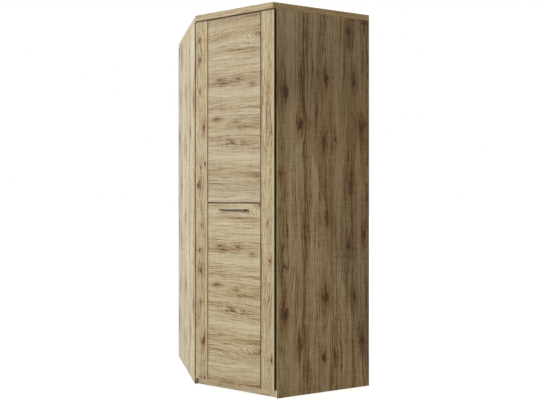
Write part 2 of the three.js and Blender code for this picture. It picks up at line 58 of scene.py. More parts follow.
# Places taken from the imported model
FRONT_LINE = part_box("right_side_panel")[0].y
SIDE_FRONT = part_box("right_side_panel")[1].x - SIDE_DEPTH * HALF_ROOT
DOOR_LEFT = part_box("left_stile")[0].x
DOOR_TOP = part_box("upper_panel")[1].z
STILE_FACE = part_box("left_stile")[0].y
STILE_INNER = -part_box("left_stile")[1].x
STILE_WIDTH = -STILE_INNER - DOOR_LEFT
PANEL_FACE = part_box("upper_panel")[0].y
PANEL_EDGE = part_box("upper_panel")[1].x - TONGUE - PANEL_GAP
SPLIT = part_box("upper_panel")[0].z
HINGE_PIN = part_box("hinge_1_pin")
HINGE_AXIS = tuple((HINGE_PIN[0] + HINGE_PIN[1]).xy / 2) + (0.0,)


# ---- Shader values

class Value:
    """A number that changes over a surface. Arithmetic on it adds Math nodes to its finish."""

    def __init__(self, finish, socket):
        self.finish = finish
        self.socket = socket

    def __add__(self, other):
        return self.finish.math("ADD", self, other)

    def __sub__(self, other):
        return self.finish.math("SUBTRACT", self, other)

    def __rsub__(self, other):
        return self.finish.math("SUBTRACT", other, self)

    def __mul__(self, other):
        return self.finish.math("MULTIPLY", self, other)

    __radd__ = __add__
    __rmul__ = __mul__


class Finish:
    """The nodes of a material or of the world."""

    def __init__(self, owner):
        owner.use_nodes = True
        self.owner = owner
        self.tree = owner.node_tree
        self.tree.nodes.clear()

    def node(self, kind, settings=None, inputs=None):
        """Adds a node: its settings first, then a value or a link for each socket."""
        made = self.tree.nodes.new(kind)
        for key, value in (settings or {}).items():
            if key == "stops":
                self.set_stops(made.color_ramp, value)
            else:
                setattr(made, key, value)
        for key, value in (inputs or {}).items():
            source = value.socket if isinstance(value, Value) else value
            if isinstance(source, bpy.types.NodeSocket):
                self.tree.links.new(source, made.inputs[key])
            else:
                made.inputs[key].default_value = source
        return made

    def set_stops(self, ramp, stops):
        while len(ramp.elements) > 1:
            ramp.elements.remove(ramp.elements[-1])
        for index, (place, colour) in enumerate(stops):
            element = ramp.elements[0] if index == 0 else ramp.elements.new(place)
            element.position = place
            element.color = colour

    def value(self, kind, settings=None, inputs=None):
        return Value(self, self.node(kind, settings, inputs).outputs[0])

    def math(self, operation, *terms):
        return self.value("ShaderNodeMath", {"operation": operation}, dict(enumerate(terms)))

    def largest(self, *values):
        most = values[0]
        for value in values[1:]:
            most = self.math("MAXIMUM", most, value)
        return most

    def smooth(self, number, start, stop):
        """Goes smoothly from 0 where the number is at start to 1 at stop."""
        settings = {"interpolation_type": "SMOOTHSTEP"}
        inputs = {0: number, 1: start, 2: stop, 3: 0.0, 4: 1.0}
        return self.value("ShaderNodeMapRange", settings, inputs)

    def point(self, x, y, z=0.0):
        return self.node("ShaderNodeCombineXYZ", None, {0: x, 1: y, 2: z}).outputs[0]

    def noise(self, vector, detail=2.0, roughness=0.5):
        inputs = {"Vector": vector, "Scale": 1.0, "Detail": detail, "Roughness": roughness}
        return self.value("ShaderNodeTexNoise", None, inputs)

    def vector(self, operation, *terms, output=0):
        settings = {"operation": operation}
        inputs = dict(enumerate(terms))
        return self.node("ShaderNodeVectorMath", settings, inputs).outputs[output]

    def length(self, vector):
        return Value(self, self.vector("LENGTH", vector, output=1))

    def tones(self, number, *stops):
        """Colours from dark to pale, by a number from 0 to 1."""
        return self.node("ShaderNodeValToRGB", {"stops": stops}, {0: number}).outputs[0]

    def levels(self, number, stops):
        """A number that goes through the given levels, by a number from 0 to 1."""
        greys = [(place, (level, level, level, 1.0)) for place, level in stops]
        return self.value("ShaderNodeValToRGB", {"stops": greys}, {0: number})

    def blend(self, share, first, second, way="MIX"):
        settings = {"data_type": "RGBA", "blend_type": way}
        inputs = {0: share, 6: first, 7: second}
        return self.node("ShaderNodeMix", settings, inputs).outputs[2]

    def place(self):
        """The place on the object."""
        return self.node("ShaderNodeTexCoord").outputs["Object"]

    def axes(self):
        """The place on the object, as three values."""
        parts = self.node("ShaderNodeSeparateXYZ", None, {0: self.place()})
        return [Value(self, output) for output in parts.outputs]

    def spots(self, counts, *detail):
        """Noise from 0 to 1, with so many spots a metre along x, y and z."""
        return self.noise(self.vector("MULTIPLY", self.place(), counts), *detail)

    def seen(self, *rays):
        """1 for these kinds of ray."""
        path = self.node("ShaderNodeLightPath")
        return self.largest(*(Value(self, path.outputs[f"Is {ray} Ray"]) for ray in rays))

    def surface(self, relief, depth, inputs):
        """The shader and the output; the relief is a height from 0 to 1."""
        bump = self.node("ShaderNodeBump", None, {"Distance": depth, "Height": relief})
        inputs = {**inputs, "Normal": bump.outputs[0]}
        shader = self.node("ShaderNodeBsdfPrincipled", None, inputs)
        self.node("ShaderNodeOutputMaterial", None, {0: shader.outputs[0]})
        return self.owner


def total(values):
    return sum(values[1:], values[0])


def weigh(values, weights):
    """The sum of the named values, each times its weight."""
    return total([values[name] * weight for name, weight in weights.items()])


def paint(red, green, blue):
    """A colour as it shows on screen, from 0 to 255, as the shader takes it."""
    def linear(part):
        share = part / 255
        return share / 12.92 if share <= 0.04045 else ((share + 0.055) / 1.055) ** 2.4
    return (linear(red), linear(green), linear(blue), 1.0)


# ---- Oak

OAK_TONES = (
    (0.00, paint(110, 81, 54)),
    (0.20, paint(147, 123, 91)),
    (0.42, paint(177, 161, 129)),
    (0.62, paint(192, 179, 148)),
    (0.82, paint(205, 195, 167)),
    (1.00, paint(216, 209, 184)),
)
KNOT_DARK = paint(88, 65, 50)
KNOT_BROWN = paint(142, 113, 83)
# Colour of the painted highlight on the stiles' bevels that face right
BEVEL_HIGHLIGHT = paint(240, 230, 204)

# Tints, which multiply the wood's colour
WARM = (1.0, 0.985, 0.94, 1.0)
# Tints of the lit left side panel and the shaded right one: painted light and painted shade
LIT_SIDE_TINT = (1.0, 1.045, 1.10, 1.0)
SHADED_SIDE_TINT = (1.0, 1.03, 1.045, 1.0)
YELLOW_PRINT = (1.02, 1.045, 1.02, 1.0)
GREY_PRINT = (0.985, 1.01, 1.04, 1.0)
# Painted shade: the wood is multiplied by this in gaps, joints, edges and under the top board
PAINTED_SHADE = (0.16, 0.115, 0.05, 1.0)
STAIN = (0.78, 0.66, 0.54, 1.0)
STAIN_SHARE = 0.50

# How far a knot's marks reach across and along the grain, in radii of the knot
KNOT_SHAPE = (1.9, 3.8)
TAIL_SHAPE = (1.6, 11.0)
STAIN_SHAPE = (5.0, 11.0)
PUSH_SHAPE = (2.0, 6.0)
KNOT_FADE = (1.0, 0.1)
PUSH_FADE = (1.6, 0.0)
PUSH = 0.60

# Figures of the growth rings
FIGURE_LINES = 4.0
FIGURE_LINE = (0.35, 0.85)
FIGURE_RIM = (0.0, 0.15)
FIGURE_DARK = 0.36
FIGURE_PALE = 0.13
FIGURE_WAVER = {"tremor": 1.5, "sway": 1.0}
FIGURE_RIPPLE = 12.0 * MM

# Noises: how many lines a metre across and along the grain, and for one its detail. The first
# kind lies on the board as it is, the second follows the line that sways round the knots.
PLAIN_GRAINS = {
    "sway": (3.0, 1.3),
    "ripple": (14.0, 5.5),
    "tremor": (60.0, 22.0),
    "fleck": (150.0, 95.0),
    "saw": (14.0, 150.0, 1.0),
}
BENT_GRAINS = {
    "cloud": (13.0, 1.6),
    "patch": (12.0, 3.0),
    "swell": (7.0, 1.6),
    "streak": (62.0, 3.4),
    "thread": (170.0, 7.0),
    "fibre": (520.0, 26.0),
}
MIDDLE_LEVEL = 0.5  # of a noise, and of a board's bands

# What bends the line, and what frays the knots
BEND = {"sway": 50 * MM, "ripple": 26 * MM, "tremor": 6 * MM}
FRAY_ACROSS = {"tremor": 14 * MM}
FRAY_ALONG = {"ripple": 40 * MM, "tremor": 30 * MM}
BAND_RIPPLE = 10 * MM
TAIL_RIPPLE = 8 * MM

# Growth rings, which show in patches and beside the knots
RINGS = 68.0
RING_SWELL = 12.0
RING_LINE = (0.45, 1.0)
RING_PATCH = (-0.06, 0.10)
RING_TAIL = 1.2

# Ragged dark tears in the dark bands and in the knots' tails
TORN = {"thread": 1.2, "streak": 0.8, "tremor": 0.9, "fibre": 0.4}
RAG_TAIL = 0.7
RAG_BAND = 0.70
RAG_FLECK = 0.6
RAG_EDGE = (0.38, 0.80)

# The tone, from 0 for the darkest to 1 for the palest oak
TONE = 0.62
BAND_TONE = 0.26
BROAD_TONE = {"cloud": 0.40, "streak": 0.60}
FINE_TONE = {"thread": 1.25, "fibre": 1.30, "saw": 0.30, "fleck": 0.35}
RING_TONE = 0.34
RAG_TONE = 0.34
PORE = (0.08, 0.18)
PORE_TONE = 0.06
WARMTH = {"cloud": 1.0, "ripple": 0.5}
WARMTH_EDGE = (0.10, -0.12)

# The edges of the stain, of the brown ring and of the dark heart of a knot
STAIN_TORN = 0.6
STAIN_EDGE = (0.15, 0.85)
CORE_TORN = 0.5
CORE_FLECK = 1.7
BROWN_EDGE = (0.35, 0.70)
BROWN_SHARE = 0.9
DARK_EDGE = (0.65, 0.95)

# The surface
OAK_RELIEF = {"streak": 0.4, "thread": 0.4, "fibre": 0.3, "knotted": -0.3}
OAK_DEPTH = 0.15 * MM
OAK_ROUGHNESS = 0.50
THREAD_ROUGHNESS = 0.25
PORE_ROUGHNESS = 0.12
OAK_GLOSS = 0.25


def near_knot(finish, board, knot, shape):
    """Where a place is from a knot, in the knot's own width and height."""
    centre, height, radius = knot[:3]
    wide, tall = shape[0] * radius, shape[1] * radius
    place = (-centre / wide, -height / tall, 0.0)
    return finish.vector("MULTIPLY_ADD", board, (1 / wide, 1 / tall, 0.0), place)


def around(finish, board, knots, shape):
    """1 at the knots' middles, 0 beyond their shape."""
    return finish.largest(*(
        finish.smooth(finish.length(near_knot(finish, board, knot, shape)), *KNOT_FADE)
        for knot in knots
    ))


def push_of(finish, board, knots):
    """How far the knots push the grain aside; a knot's fourth number is a reach of its own."""
    pushes = []
    for centre, height, radius, *size in knots:
        reach = size[0] if size else radius
        offset = near_knot(finish, board, (centre, height, reach), PUSH_SHAPE)
        side = finish.value("ShaderNodeSeparateXYZ", None, {0: offset})
        near = finish.smooth(finish.length(offset), *PUSH_FADE)
        pushes.append(near * side * (PUSH * PUSH_SHAPE[0] * reach))
    return total(pushes)


def figured(finish, across, along, waver, figures):
    """Figures of the growth rings: an arch opens along the board from its tip, an eye is closed.
    Gives their dark lines, and 1 inside them."""
    lines, insides = [], []
    for centre, place, width, length, closed in figures:
        off = (across - centre) * (1 / width)
        far = (along - place) * (1 / length)
        depth = 1.0 - far * far - off * off if closed else far - off * off
        line = finish.smooth(finish.math("FRACT", depth * FIGURE_LINES + waver), *FIGURE_LINE)
        inside = finish.smooth(depth, *FIGURE_RIM)
        lines.append(line * inside)
        insides.append(inside)
    return finish.largest(*lines), finish.largest(*insides)


def oak(
    name, place, knots, bands, reach,
    fine=1.0, broad=1.0, ragged=1.0, longer=1.0, shift=0.0, knotty=1.0, tint=WHITE, repeat=None,
    seed=0.0, painted_light=None, figures=None,
):
    """Knotty oak. The place gives across, along and through the board for a finish's axes.
    The bands are levels over the board's width, from 0 to the reach. Fine, broad, ragged and
    knotty say how strong its marks are, longer draws them out, and shift makes it paler. The
    knots repeat along the board between the two places of the repeat, and the painted light
    adds painted shade and painted highlights at the board's edges."""
    finish = Finish(bpy.data.materials.new(name))
    axes = finish.axes()
    across, along, through = place(finish, *axes)
    printed = along
    if repeat is not None:
        printed = finish.math("WRAP", along, repeat[1], repeat[0])
    board = finish.point(across, printed)
    long = along + seed
    grains = {}

    def add_grains(line, kinds):
        """Noises about 0."""
        for kind, (wide, tall, *detail) in kinds.items():
            point = finish.point(line * wide, long * (tall / longer), through * wide)
            grains[kind] = finish.noise(point, *detail) - MIDDLE_LEVEL

    add_grains(across, PLAIN_GRAINS)
    line = across - push_of(finish, board, knots) + weigh(grains, BEND)
    add_grains(line, BENT_GRAINS)
    ripple, fleck, thread = grains["ripple"], grains["fleck"], grains["thread"]

    frayed = finish.point(
        across + weigh(grains, FRAY_ACROSS), printed + weigh(grains, FRAY_ALONG),
    )
    knotted = around(finish, frayed, knots, KNOT_SHAPE)
    stained = around(finish, frayed, knots, STAIN_SHAPE)
    tail = around(finish, finish.point(line + ripple * TAIL_RIPPLE, printed), knots, TAIL_SHAPE)
    torn = weigh(grains, TORN)
    band = finish.levels((line + ripple * BAND_RIPPLE) * (1 / reach), bands)
    ring = finish.math("FRACT", line * RINGS + grains["swell"] * RING_SWELL)
    ringed = finish.largest(finish.smooth(grains["patch"], *RING_PATCH), tail * RING_TAIL)
    dark_side = finish.largest(tail * RAG_TAIL, RAG_BAND - band)
    rag = finish.smooth(dark_side + torn + fleck * RAG_FLECK, *RAG_EDGE)
    pore = finish.smooth(grains["fibre"], *PORE)

    tone = (
        (band - MIDDLE_LEVEL) * (BAND_TONE * broad)
        + weigh(grains, BROAD_TONE) * broad
        + weigh(grains, FINE_TONE) * fine
        - ringed * finish.smooth(ring, *RING_LINE) * (RING_TONE * fine)
        - rag * (RAG_TONE * ragged)
        - pore * PORE_TONE
        + (TONE + shift)
    )
    if figures is not None:
        waver = weigh(grains, FIGURE_WAVER)
        swayed = across + ripple * FIGURE_RIPPLE
        figure, inside = figured(finish, swayed, along, waver, figures)
        tone = tone + inside * FIGURE_PALE - figure * FIGURE_DARK
    # Painted light: the lift of the tone gives painted highlights and painted shade
    if painted_light is not None:
        lift, dark, pale = painted_light(finish, across, axes)
        tone = tone + lift

    wood = finish.tones(tone, *OAK_TONES)
    warmth = finish.smooth(weigh(grains, WARMTH), *WARMTH_EDGE)
    wood = finish.blend(warmth, wood, WARM, "MULTIPLY")
    wood = finish.blend(1.0, wood, tint, "MULTIPLY")
    stain = finish.smooth(stained + torn * STAIN_TORN, *STAIN_EDGE)
    wood = finish.blend(stain * STAIN_SHARE, wood, STAIN, "MULTIPLY")
    core = knotted + torn * CORE_TORN + fleck * CORE_FLECK
    brown = finish.smooth(core, *BROWN_EDGE) * (BROWN_SHARE * knotty)
    wood = finish.blend(brown, wood, KNOT_BROWN)
    wood = finish.blend(finish.smooth(core, *DARK_EDGE) * knotty, wood, KNOT_DARK)
    # Painted highlights, then painted shade multiplied in
    if painted_light is not None:
        wood = finish.blend(pale, wood, BEVEL_HIGHLIGHT)
        wood = finish.blend(dark, wood, PAINTED_SHADE, "MULTIPLY")
    return finish.surface(weigh({**grains, "knotted": knotted}, OAK_RELIEF), OAK_DEPTH, {
        "Base Color": wood,
        "Roughness": thread * THREAD_ROUGHNESS + pore * PORE_ROUGHNESS + OAK_ROUGHNESS,
        "Specular IOR Level": OAK_GLOSS,
    })


# ---- Painted light: painted shade in and beside the gaps and painted highlights on some edges.
# It gives a lift of the tone, a dark share and a pale share. Each pair says where a shade starts
# and where it is full.

TO_THE_RIGHT = (0.0, 0.1)
TO_THE_LEFT = (0.0, -0.1)

# Painted shadow under the top board, from the door's top down
TOP_CLOSE = (5.0 * MM, 2.0 * MM)
TOP_CLOSE_SHARE = 0.65
TOP_WIDE = (15.0 * MM, 6.0 * MM)
TOP_WIDE_SHARE = 0.22

# Panels: painted shade beside the gaps and in the joint, a painted highlight on the lip under
# it;
# places from the edge of the face inwards, from the face back, and from the joint
PANEL_RIM = (1.9 * MM, 0.7 * MM)
PANEL_RIM_SHARE = 0.86
PANEL_SIDE = (8.0 * MM, 0.0)
PANEL_SIDE_SHARE = 0.42
PANEL_FRONT = (1.0 * MM, 0.2 * MM)
PANEL_STEP = (0.4 * MM, 1.6 * MM)
SHALLOW = (8.0 * MM, 7.0 * MM)
JOINT = (7.0 * MM, 6.0 * MM)
JOINT_SHARE = 0.85
LIP_LOW = (11.0 * MM, 7.0 * MM)
LIP_HIGH = (0.0, 3.0 * MM)
LIP_LIFT = 0.30

# Stiles: painted highlights on bevels that face right, painted shade on those that face left and
# on the edges in the gaps; places from the edge inwards, and from the face back
STILE_EDGE = (0.6 * MM, 0.1 * MM)
STILE_SIDES = (2.0 * MM, 3.5 * MM)
STILE_FRONT = (4.0 * MM, 3.0 * MM)
STILE_BEVEL = (BEVEL_WIDTH + 0.5 * MM, BEVEL_WIDTH - 0.5 * MM)
STILE_HALF = (STILE_WIDTH * 0.4, STILE_WIDTH * 0.6)
OUTER_SHARE = 0.95
INNER_SHARE = 0.05
HOLLOW_SHARE = 0.32
BEVEL_LIFT = 0.41
BEVEL_DROP = 0.12
BEVEL_HIGHLIGHT_SHARE = 0.54

# Side panels: painted shade on the left panel's edge in the gap and at the panels' heads, and a
# painted highlight on the right panel's front edge. Heights above the floor, the first two at
# the ends of the door, and from the front edge back
SIDE_FOOT = (0.035, 0.040)
SIDE_HEAD = (2.018, 2.015)
SIDE_GAP = (4.0 * MM, 3.2 * MM)
SIDE_UPPER = (1.15, 1.85)
UPPER_SHARE = 0.03
UPPER_RIGHT_SHARE = 0.37
SIDE_RIM = (1.6 * MM, 0.8 * MM)
SIDE_RIM_LIFT = 0.35


def under_top(finish, z):
    """Painted shadow at the head of the door, under the top board."""
    below = DOOR_TOP - z
    close = finish.smooth(below, *TOP_CLOSE) * TOP_CLOSE_SHARE
    return close + finish.smooth(below, *TOP_WIDE) * TOP_WIDE_SHARE


def panel_painted_light(finish, across, axes):
    """Painted shade beside the shadow gaps to the stiles, in the joint between the panels and
    under the top board, and a painted highlight on the lower panel's lip, which faces up.
    """
    x, y, z = axes
    depth = y - PANEL_FACE
    below = SPLIT - z
    right = finish.smooth(x, *TO_THE_RIGHT)
    inwards = PANEL_EDGE - finish.math("ABSOLUTE", x)
    rim = finish.smooth(inwards, *PANEL_RIM) * right * PANEL_RIM_SHARE
    front = finish.smooth(depth, *PANEL_FRONT) * PANEL_SIDE_SHARE
    beside = finish.smooth(inwards, *PANEL_SIDE) * front * (1.0 - right) + rim
    joint = finish.smooth(finish.math("ABSOLUTE", below), *JOINT) * JOINT_SHARE
    joint = joint * finish.smooth(depth, *PANEL_STEP)
    dark = finish.largest(beside, under_top(finish, z), joint)
    # Painted highlight on the lower panel's lip, which faces up
    lip = finish.smooth(below, *LIP_LOW) * finish.smooth(below, *LIP_HIGH)
    return lip * LIP_LIFT, finish.smooth(depth, *SHALLOW) * dark, 0.0


def stile_painted_light(finish, across, axes):
    """Painted highlights on the bevels that face right and painted shade on those that face
    left, and painted shade on the edges in the shadow gaps, beside the carcass and under the top
    board.
    """
    x, y, z = axes
    depth = y - STILE_FACE
    from_edge = finish.math("MINIMUM", across, STILE_WIDTH - across)
    outwards = finish.math("ABSOLUTE", x) - STILE_INNER
    outer = finish.smooth(outwards, *STILE_HALF) * OUTER_SHARE
    inner = finish.smooth(y - PANEL_FACE, *SHALLOW) * INNER_SHARE
    edge = finish.smooth(from_edge, *STILE_EDGE) * finish.smooth(depth, *STILE_SIDES)
    sides = edge * finish.largest(outer, inner)
    front = finish.smooth(depth, *STILE_FRONT)
    bevel = finish.smooth(from_edge, *STILE_BEVEL) * front
    turned = finish.smooth(across, *STILE_HALF)
    right = finish.smooth(x, *TO_THE_RIGHT)
    # Painted shade on the right stile's bevel that faces left
    hollow = bevel * (1.0 - turned) * right * HOLLOW_SHARE
    dark = finish.largest(sides, under_top(finish, z) * front, hollow)
    return bevel * (turned * BEVEL_LIFT - BEVEL_DROP), dark, bevel * turned * BEVEL_HIGHLIGHT_SHARE


def side_painted_light(finish, across, axes):
    """Painted shade on the left panel's edge in the gap beside the door, a painted highlight on
    the right panel's front edge, and painted shade at the head of both, which is darker on the
    right."""
    x, y, z = axes
    right = finish.smooth(x, *TO_THE_RIGHT)
    upright = finish.smooth(z, *SIDE_FOOT) * finish.smooth(z, *SIDE_HEAD)
    gap = upright * finish.smooth(x, *TO_THE_LEFT) * finish.smooth(across, *SIDE_GAP)
    upper = finish.smooth(z, *SIDE_UPPER) * (right * UPPER_RIGHT_SHARE + UPPER_SHARE)
    rim = right * finish.smooth(across, *SIDE_RIM)
    return rim * SIDE_RIM_LIFT, finish.largest(gap, upper), 0.0


# ---- Each board's own directions: across, along and through it

# How far up the print starts again
PANEL_PRINT = 0.900
LONG_PRINT = 1.167

# How much of an upright's depth counts as width
UPRIGHT_SLANT = 0.6


def beside_door(finish, x, y, z):
    """A side panel's own directions: from its front edge back, up, and through it."""
    outward = finish.math("ABSOLUTE", x)
    back = (outward + y) * HALF_ROOT - (SIDE_FRONT + FRONT_LINE) * HALF_ROOT
    return back, z, (outward - y) * HALF_ROOT


def on_panels(finish, x, y, z):
    """Level grain; the print of the lower panel starts again on the upper one."""
    upper = finish.math("GREATER_THAN", z, SPLIT)
    return z - upper * PANEL_PRINT, x, y


def on_left_stile(finish, x, y, z):
    return x - DOOR_LEFT, z, y


def on_right_stile(finish, x, y, z):
    return x - STILE_INNER, z, y


def on_flat_board(finish, x, y, z):
    return y + z, x, z


def on_upright(finish, x, y, z):
    return x + y * UPRIGHT_SLANT, z, y


def on_plinth(finish, x, y, z):
    return z, x, y


# Knots: across and along the board, radius, and for some a reach of their own for the push.
# Bands: a share of the board's width, and a level from 0 for dark to 1 for pale.

SIDE_KNOTS = (
    (0.044, 0.4250, 0.020, 0.012),
    (0.129, 0.2601, 0.016),
    (0.268, 0.1775, 0.012),
    (0.334, 0.1860, 0.010),
    (0.499, 0.2620, 0.017),
    (0.280, 0.5090, 0.016),
    (0.449, 0.5050, 0.012),
    (0.412, 0.7750, 0.016),
    (0.511, 0.8399, 0.016),
    (0.280, 0.9310, 0.011),
    (0.431, 1.1093, 0.013),
    (0.022, 1.1573, 0.007),
)
SIDE_BANDS = (
    (0.00, 0.66), (0.04, 0.28), (0.085, 0.26), (0.16, 1.00), (0.22, 0.84), (0.265, 0.40),
    (0.281, 0.02), (0.297, 0.40), (0.34, 0.46), (0.40, 0.64), (0.46, 0.25), (0.52, 0.66),
    (0.57, 0.44), (0.635, 0.68), (0.68, 0.66), (0.745, 0.37), (0.785, 0.35), (0.80, 0.06),
    (0.815, 0.35), (0.84, 0.30), (0.885, 0.56), (0.94, 0.27), (1.00, 0.16),
)
SIDE_REPEAT = (0.08, 0.08 + LONG_PRINT)

PANEL_KNOTS = (
    (1.001, 0.162, 0.008, 0.030),
    (0.779, -0.084, 0.007),
    (0.762, -0.064, 0.008),
    (0.777, 0.023, 0.007),
    (0.742, 0.119, 0.005),
    (0.568, -0.104, 0.007),
    (0.543, 0.016, 0.005),
    (0.515, 0.040, 0.006),
    (0.441, -0.018, 0.0065, 0.022),
    (0.436, 0.060, 0.0045, 0.012),
)
UPPER_PANEL_KNOTS = PANEL_KNOTS + ((0.254, 0.144, 0.007),)
LOWER_PANEL_KNOTS = PANEL_KNOTS + ((0.236, 0.164, 0.008, 0.030),)
PANEL_BANDS = (
    (0.00, 0.35), (0.05, 0.15), (0.10, 0.62), (0.15, 0.42), (0.195, 0.38), (0.222, 0.60),
    (0.236, 0.12), (0.252, 0.50), (0.275, 0.45), (0.31, 0.95), (0.35, 0.60), (0.385, 0.40),
    (0.405, 0.28), (0.445, 0.80), (0.468, 0.25), (0.49, 0.40), (0.51, 0.15), (0.54, 0.82),
    (0.565, 0.30), (0.59, 0.60), (0.613, 0.28), (0.635, 0.78), (0.66, 0.45), (0.70, 0.08),
    (0.735, 0.60), (0.79, 0.88), (0.825, 0.60), (0.848, 0.16), (0.875, 0.75), (0.93, 0.35),
    (0.965, 0.55), (1.00, 0.30),
)
PANEL_REACH = 1.10

# Figures: across and along the board, width, length, and whether it is a closed eye
EYE = (0.431, -0.022, 0.034, 0.092, True)
UPPER_FIGURES = ((0.996, 0.060, 0.044, 0.104, False), EYE)
LOWER_FIGURES = (
    (0.970, 0.066, 0.042, 0.096, False),
    (0.234, 0.010, 0.038, 0.155, False),
    EYE,
)

LEFT_STILE_KNOTS = (
    (0.029, 0.7440, 0.006),
    (0.040, 0.8843, 0.004),
    (0.022, 1.1156, 0.010),
    (0.035, 1.2060, 0.005),
    (0.062, 1.2230, 0.007),
    (0.055, 1.4240, 0.010),
    (0.033, 1.6240, 0.004),
    (0.033, 1.8040, 0.008),
)
LEFT_STILE_BANDS = ((0.0, 0.55), (0.2, 0.45), (0.5, 0.35), (0.75, 0.50), (1.0, 0.60))
LEFT_STILE_REPEAT = (0.70, 0.70 + LONG_PRINT)

RIGHT_STILE_KNOTS = (
    (0.062, 1.3632, 0.004),
    (0.037, 0.9088, 0.004),
    (0.064, 0.2054, 0.005),
    (0.050, 0.7080, 0.006),
)
RIGHT_STILE_BANDS = ((0.0, 0.60), (0.35, 0.45), (0.7, 0.30), (1.0, 0.50))

INNER_KNOTS = (
    (-0.20, 0.15, 0.011),
    (0.25, -0.30, 0.012),
    (0.05, 0.42, 0.009),
    (-0.35, -0.1, 0.008),
)
INNER_BANDS = ((0.0, 0.40), (0.2, 0.60), (0.4, 0.42), (0.55, 0.66), (0.8, 0.38), (1.0, 0.58))
INNER_REACH = 1.0
PLINTH_REACH = 0.1


# ---- Plain finishes. A noise is given by its spots a metre along x, y and z, its detail and
# its roughness. The shares make the mix of noises that goes from the dark tone to the pale one,
# and what is uneven changes the roughness.

BOARD_TONES = ((0.25, paint(186, 170, 140)), (0.75, paint(212, 200, 174)))
BOARD_CLOUD = ((9.0, 9.0, 7.0), 4.0)
BOARD_FIBRE = ((420.0, 420.0, 160.0), 3.0, 0.6)
BOARD_SHARES = {"cloud": 0.7, "fibre": 0.6}
BOARD_SHIFT = -0.15
BOARD_DEPTH = 0.05 * MM
BOARD_ROUGHNESS = 0.62
BOARD_UNEVEN = 0.2
BOARD_GLOSS = 0.3

BEECH_TONES = ((0.3, paint(196, 158, 112)), (0.7, paint(222, 190, 148)))
BEECH_FLECK = ((900.0, 900.0, 240.0),)
BEECH_DEPTH = 0.05 * MM
BEECH_ROUGHNESS = 0.6
BEECH_UNEVEN = 0.1

METAL_CLOUD = ((25.0, 25.0, 25.0),)
METAL_SHARES = {"brushed": 0.6, "cloud": 0.4}
METAL_DEPTH = 0.01 * MM
BRUSH = (3.0, 0.6)
BRUSH_UNEVEN = 0.16
CLOUD_UNEVEN = 0.12
# Painted shade on the hinges' knuckles, in the gap beside the door
KNUCKLE_SHADE = paint(26, 22, 18)
KNUCKLE_RADIUS = (9.0 * MM, 8.0 * MM)

PLASTIC_CLOUD = ((60.0, 60.0, 60.0), 3.0)
PLASTIC_SHARES = {"cloud": 0.7, "eroded": 0.3}
PLASTIC_DEPTH = 0.02 * MM
PLASTIC_UNEVEN = 0.15

DARK_STOP, PALE_STOP = 0.3, 0.7


def hardboard():
    """Thin pressed board with a pale printed face and a few loose fibres."""
    finish = Finish(bpy.data.materials.new("pale_hardboard"))
    fibre = finish.spots(*BOARD_FIBRE)
    share = weigh({"cloud": finish.spots(*BOARD_CLOUD), "fibre": fibre}, BOARD_SHARES)
    return finish.surface(fibre, BOARD_DEPTH, {
        "Base Color": finish.tones(share + BOARD_SHIFT, *BOARD_TONES),
        "Roughness": (fibre - MIDDLE_LEVEL) * BOARD_UNEVEN + BOARD_ROUGHNESS,
        "Specular IOR Level": BOARD_GLOSS,
    })


def beech():
    """Turned beech with short flecks along the dowel."""
    finish = Finish(bpy.data.materials.new("fluted_beech"))
    fleck = finish.spots(*BEECH_FLECK)
    return finish.surface(fleck, BEECH_DEPTH, {
        "Base Color": finish.tones(fleck, *BEECH_TONES),
        "Roughness": fleck * BEECH_UNEVEN + BEECH_ROUGHNESS,
    })


def metal(name, dark, pale, roughness, lines, metallic=1.0, shaded_knuckles=False):
    """Plated or brushed metal; the lines give how many scratches a metre has along each axis.
    With shaded knuckles the hinge gets painted shade near its axis, where it sits in the gap
    beside the door."""
    finish = Finish(bpy.data.materials.new(name))
    brushed = finish.spots(lines, *BRUSH)
    cloud = finish.spots(*METAL_CLOUD)
    share = weigh({"brushed": brushed, "cloud": cloud}, METAL_SHARES)
    colour = finish.tones(share, (DARK_STOP, dark), (PALE_STOP, pale))
    if shaded_knuckles:
        level = finish.vector("MULTIPLY", finish.place(), (1.0, 1.0, 0.0))
        away = finish.vector("DISTANCE", level, HINGE_AXIS, output=1)
        colour = finish.blend(finish.smooth(away, *KNUCKLE_RADIUS), colour, KNUCKLE_SHADE)
    uneven = (brushed - MIDDLE_LEVEL) * BRUSH_UNEVEN + (cloud - MIDDLE_LEVEL) * CLOUD_UNEVEN
    return finish.surface(brushed, METAL_DEPTH, {
        "Base Color": colour,
        "Metallic": metallic,
        "Roughness": uneven + roughness,
    })


def plastic(name, dark, pale, roughness, grain=2600.0):
    """Moulded plastic with a fine eroded grain of so many spots a metre."""
    finish = Finish(bpy.data.materials.new(name))
    eroded = finish.spots((grain, grain, grain))
    cloud = finish.spots(*PLASTIC_CLOUD)
    share = weigh({"cloud": cloud, "eroded": eroded}, PLASTIC_SHARES)
    return finish.surface(eroded, PLASTIC_DEPTH, {
        "Base Color": finish.tones(share, (DARK_STOP, dark), (PALE_STOP, pale)),
        "Roughness": (cloud - MIDDLE_LEVEL) * PLASTIC_UNEVEN + roughness,
    })


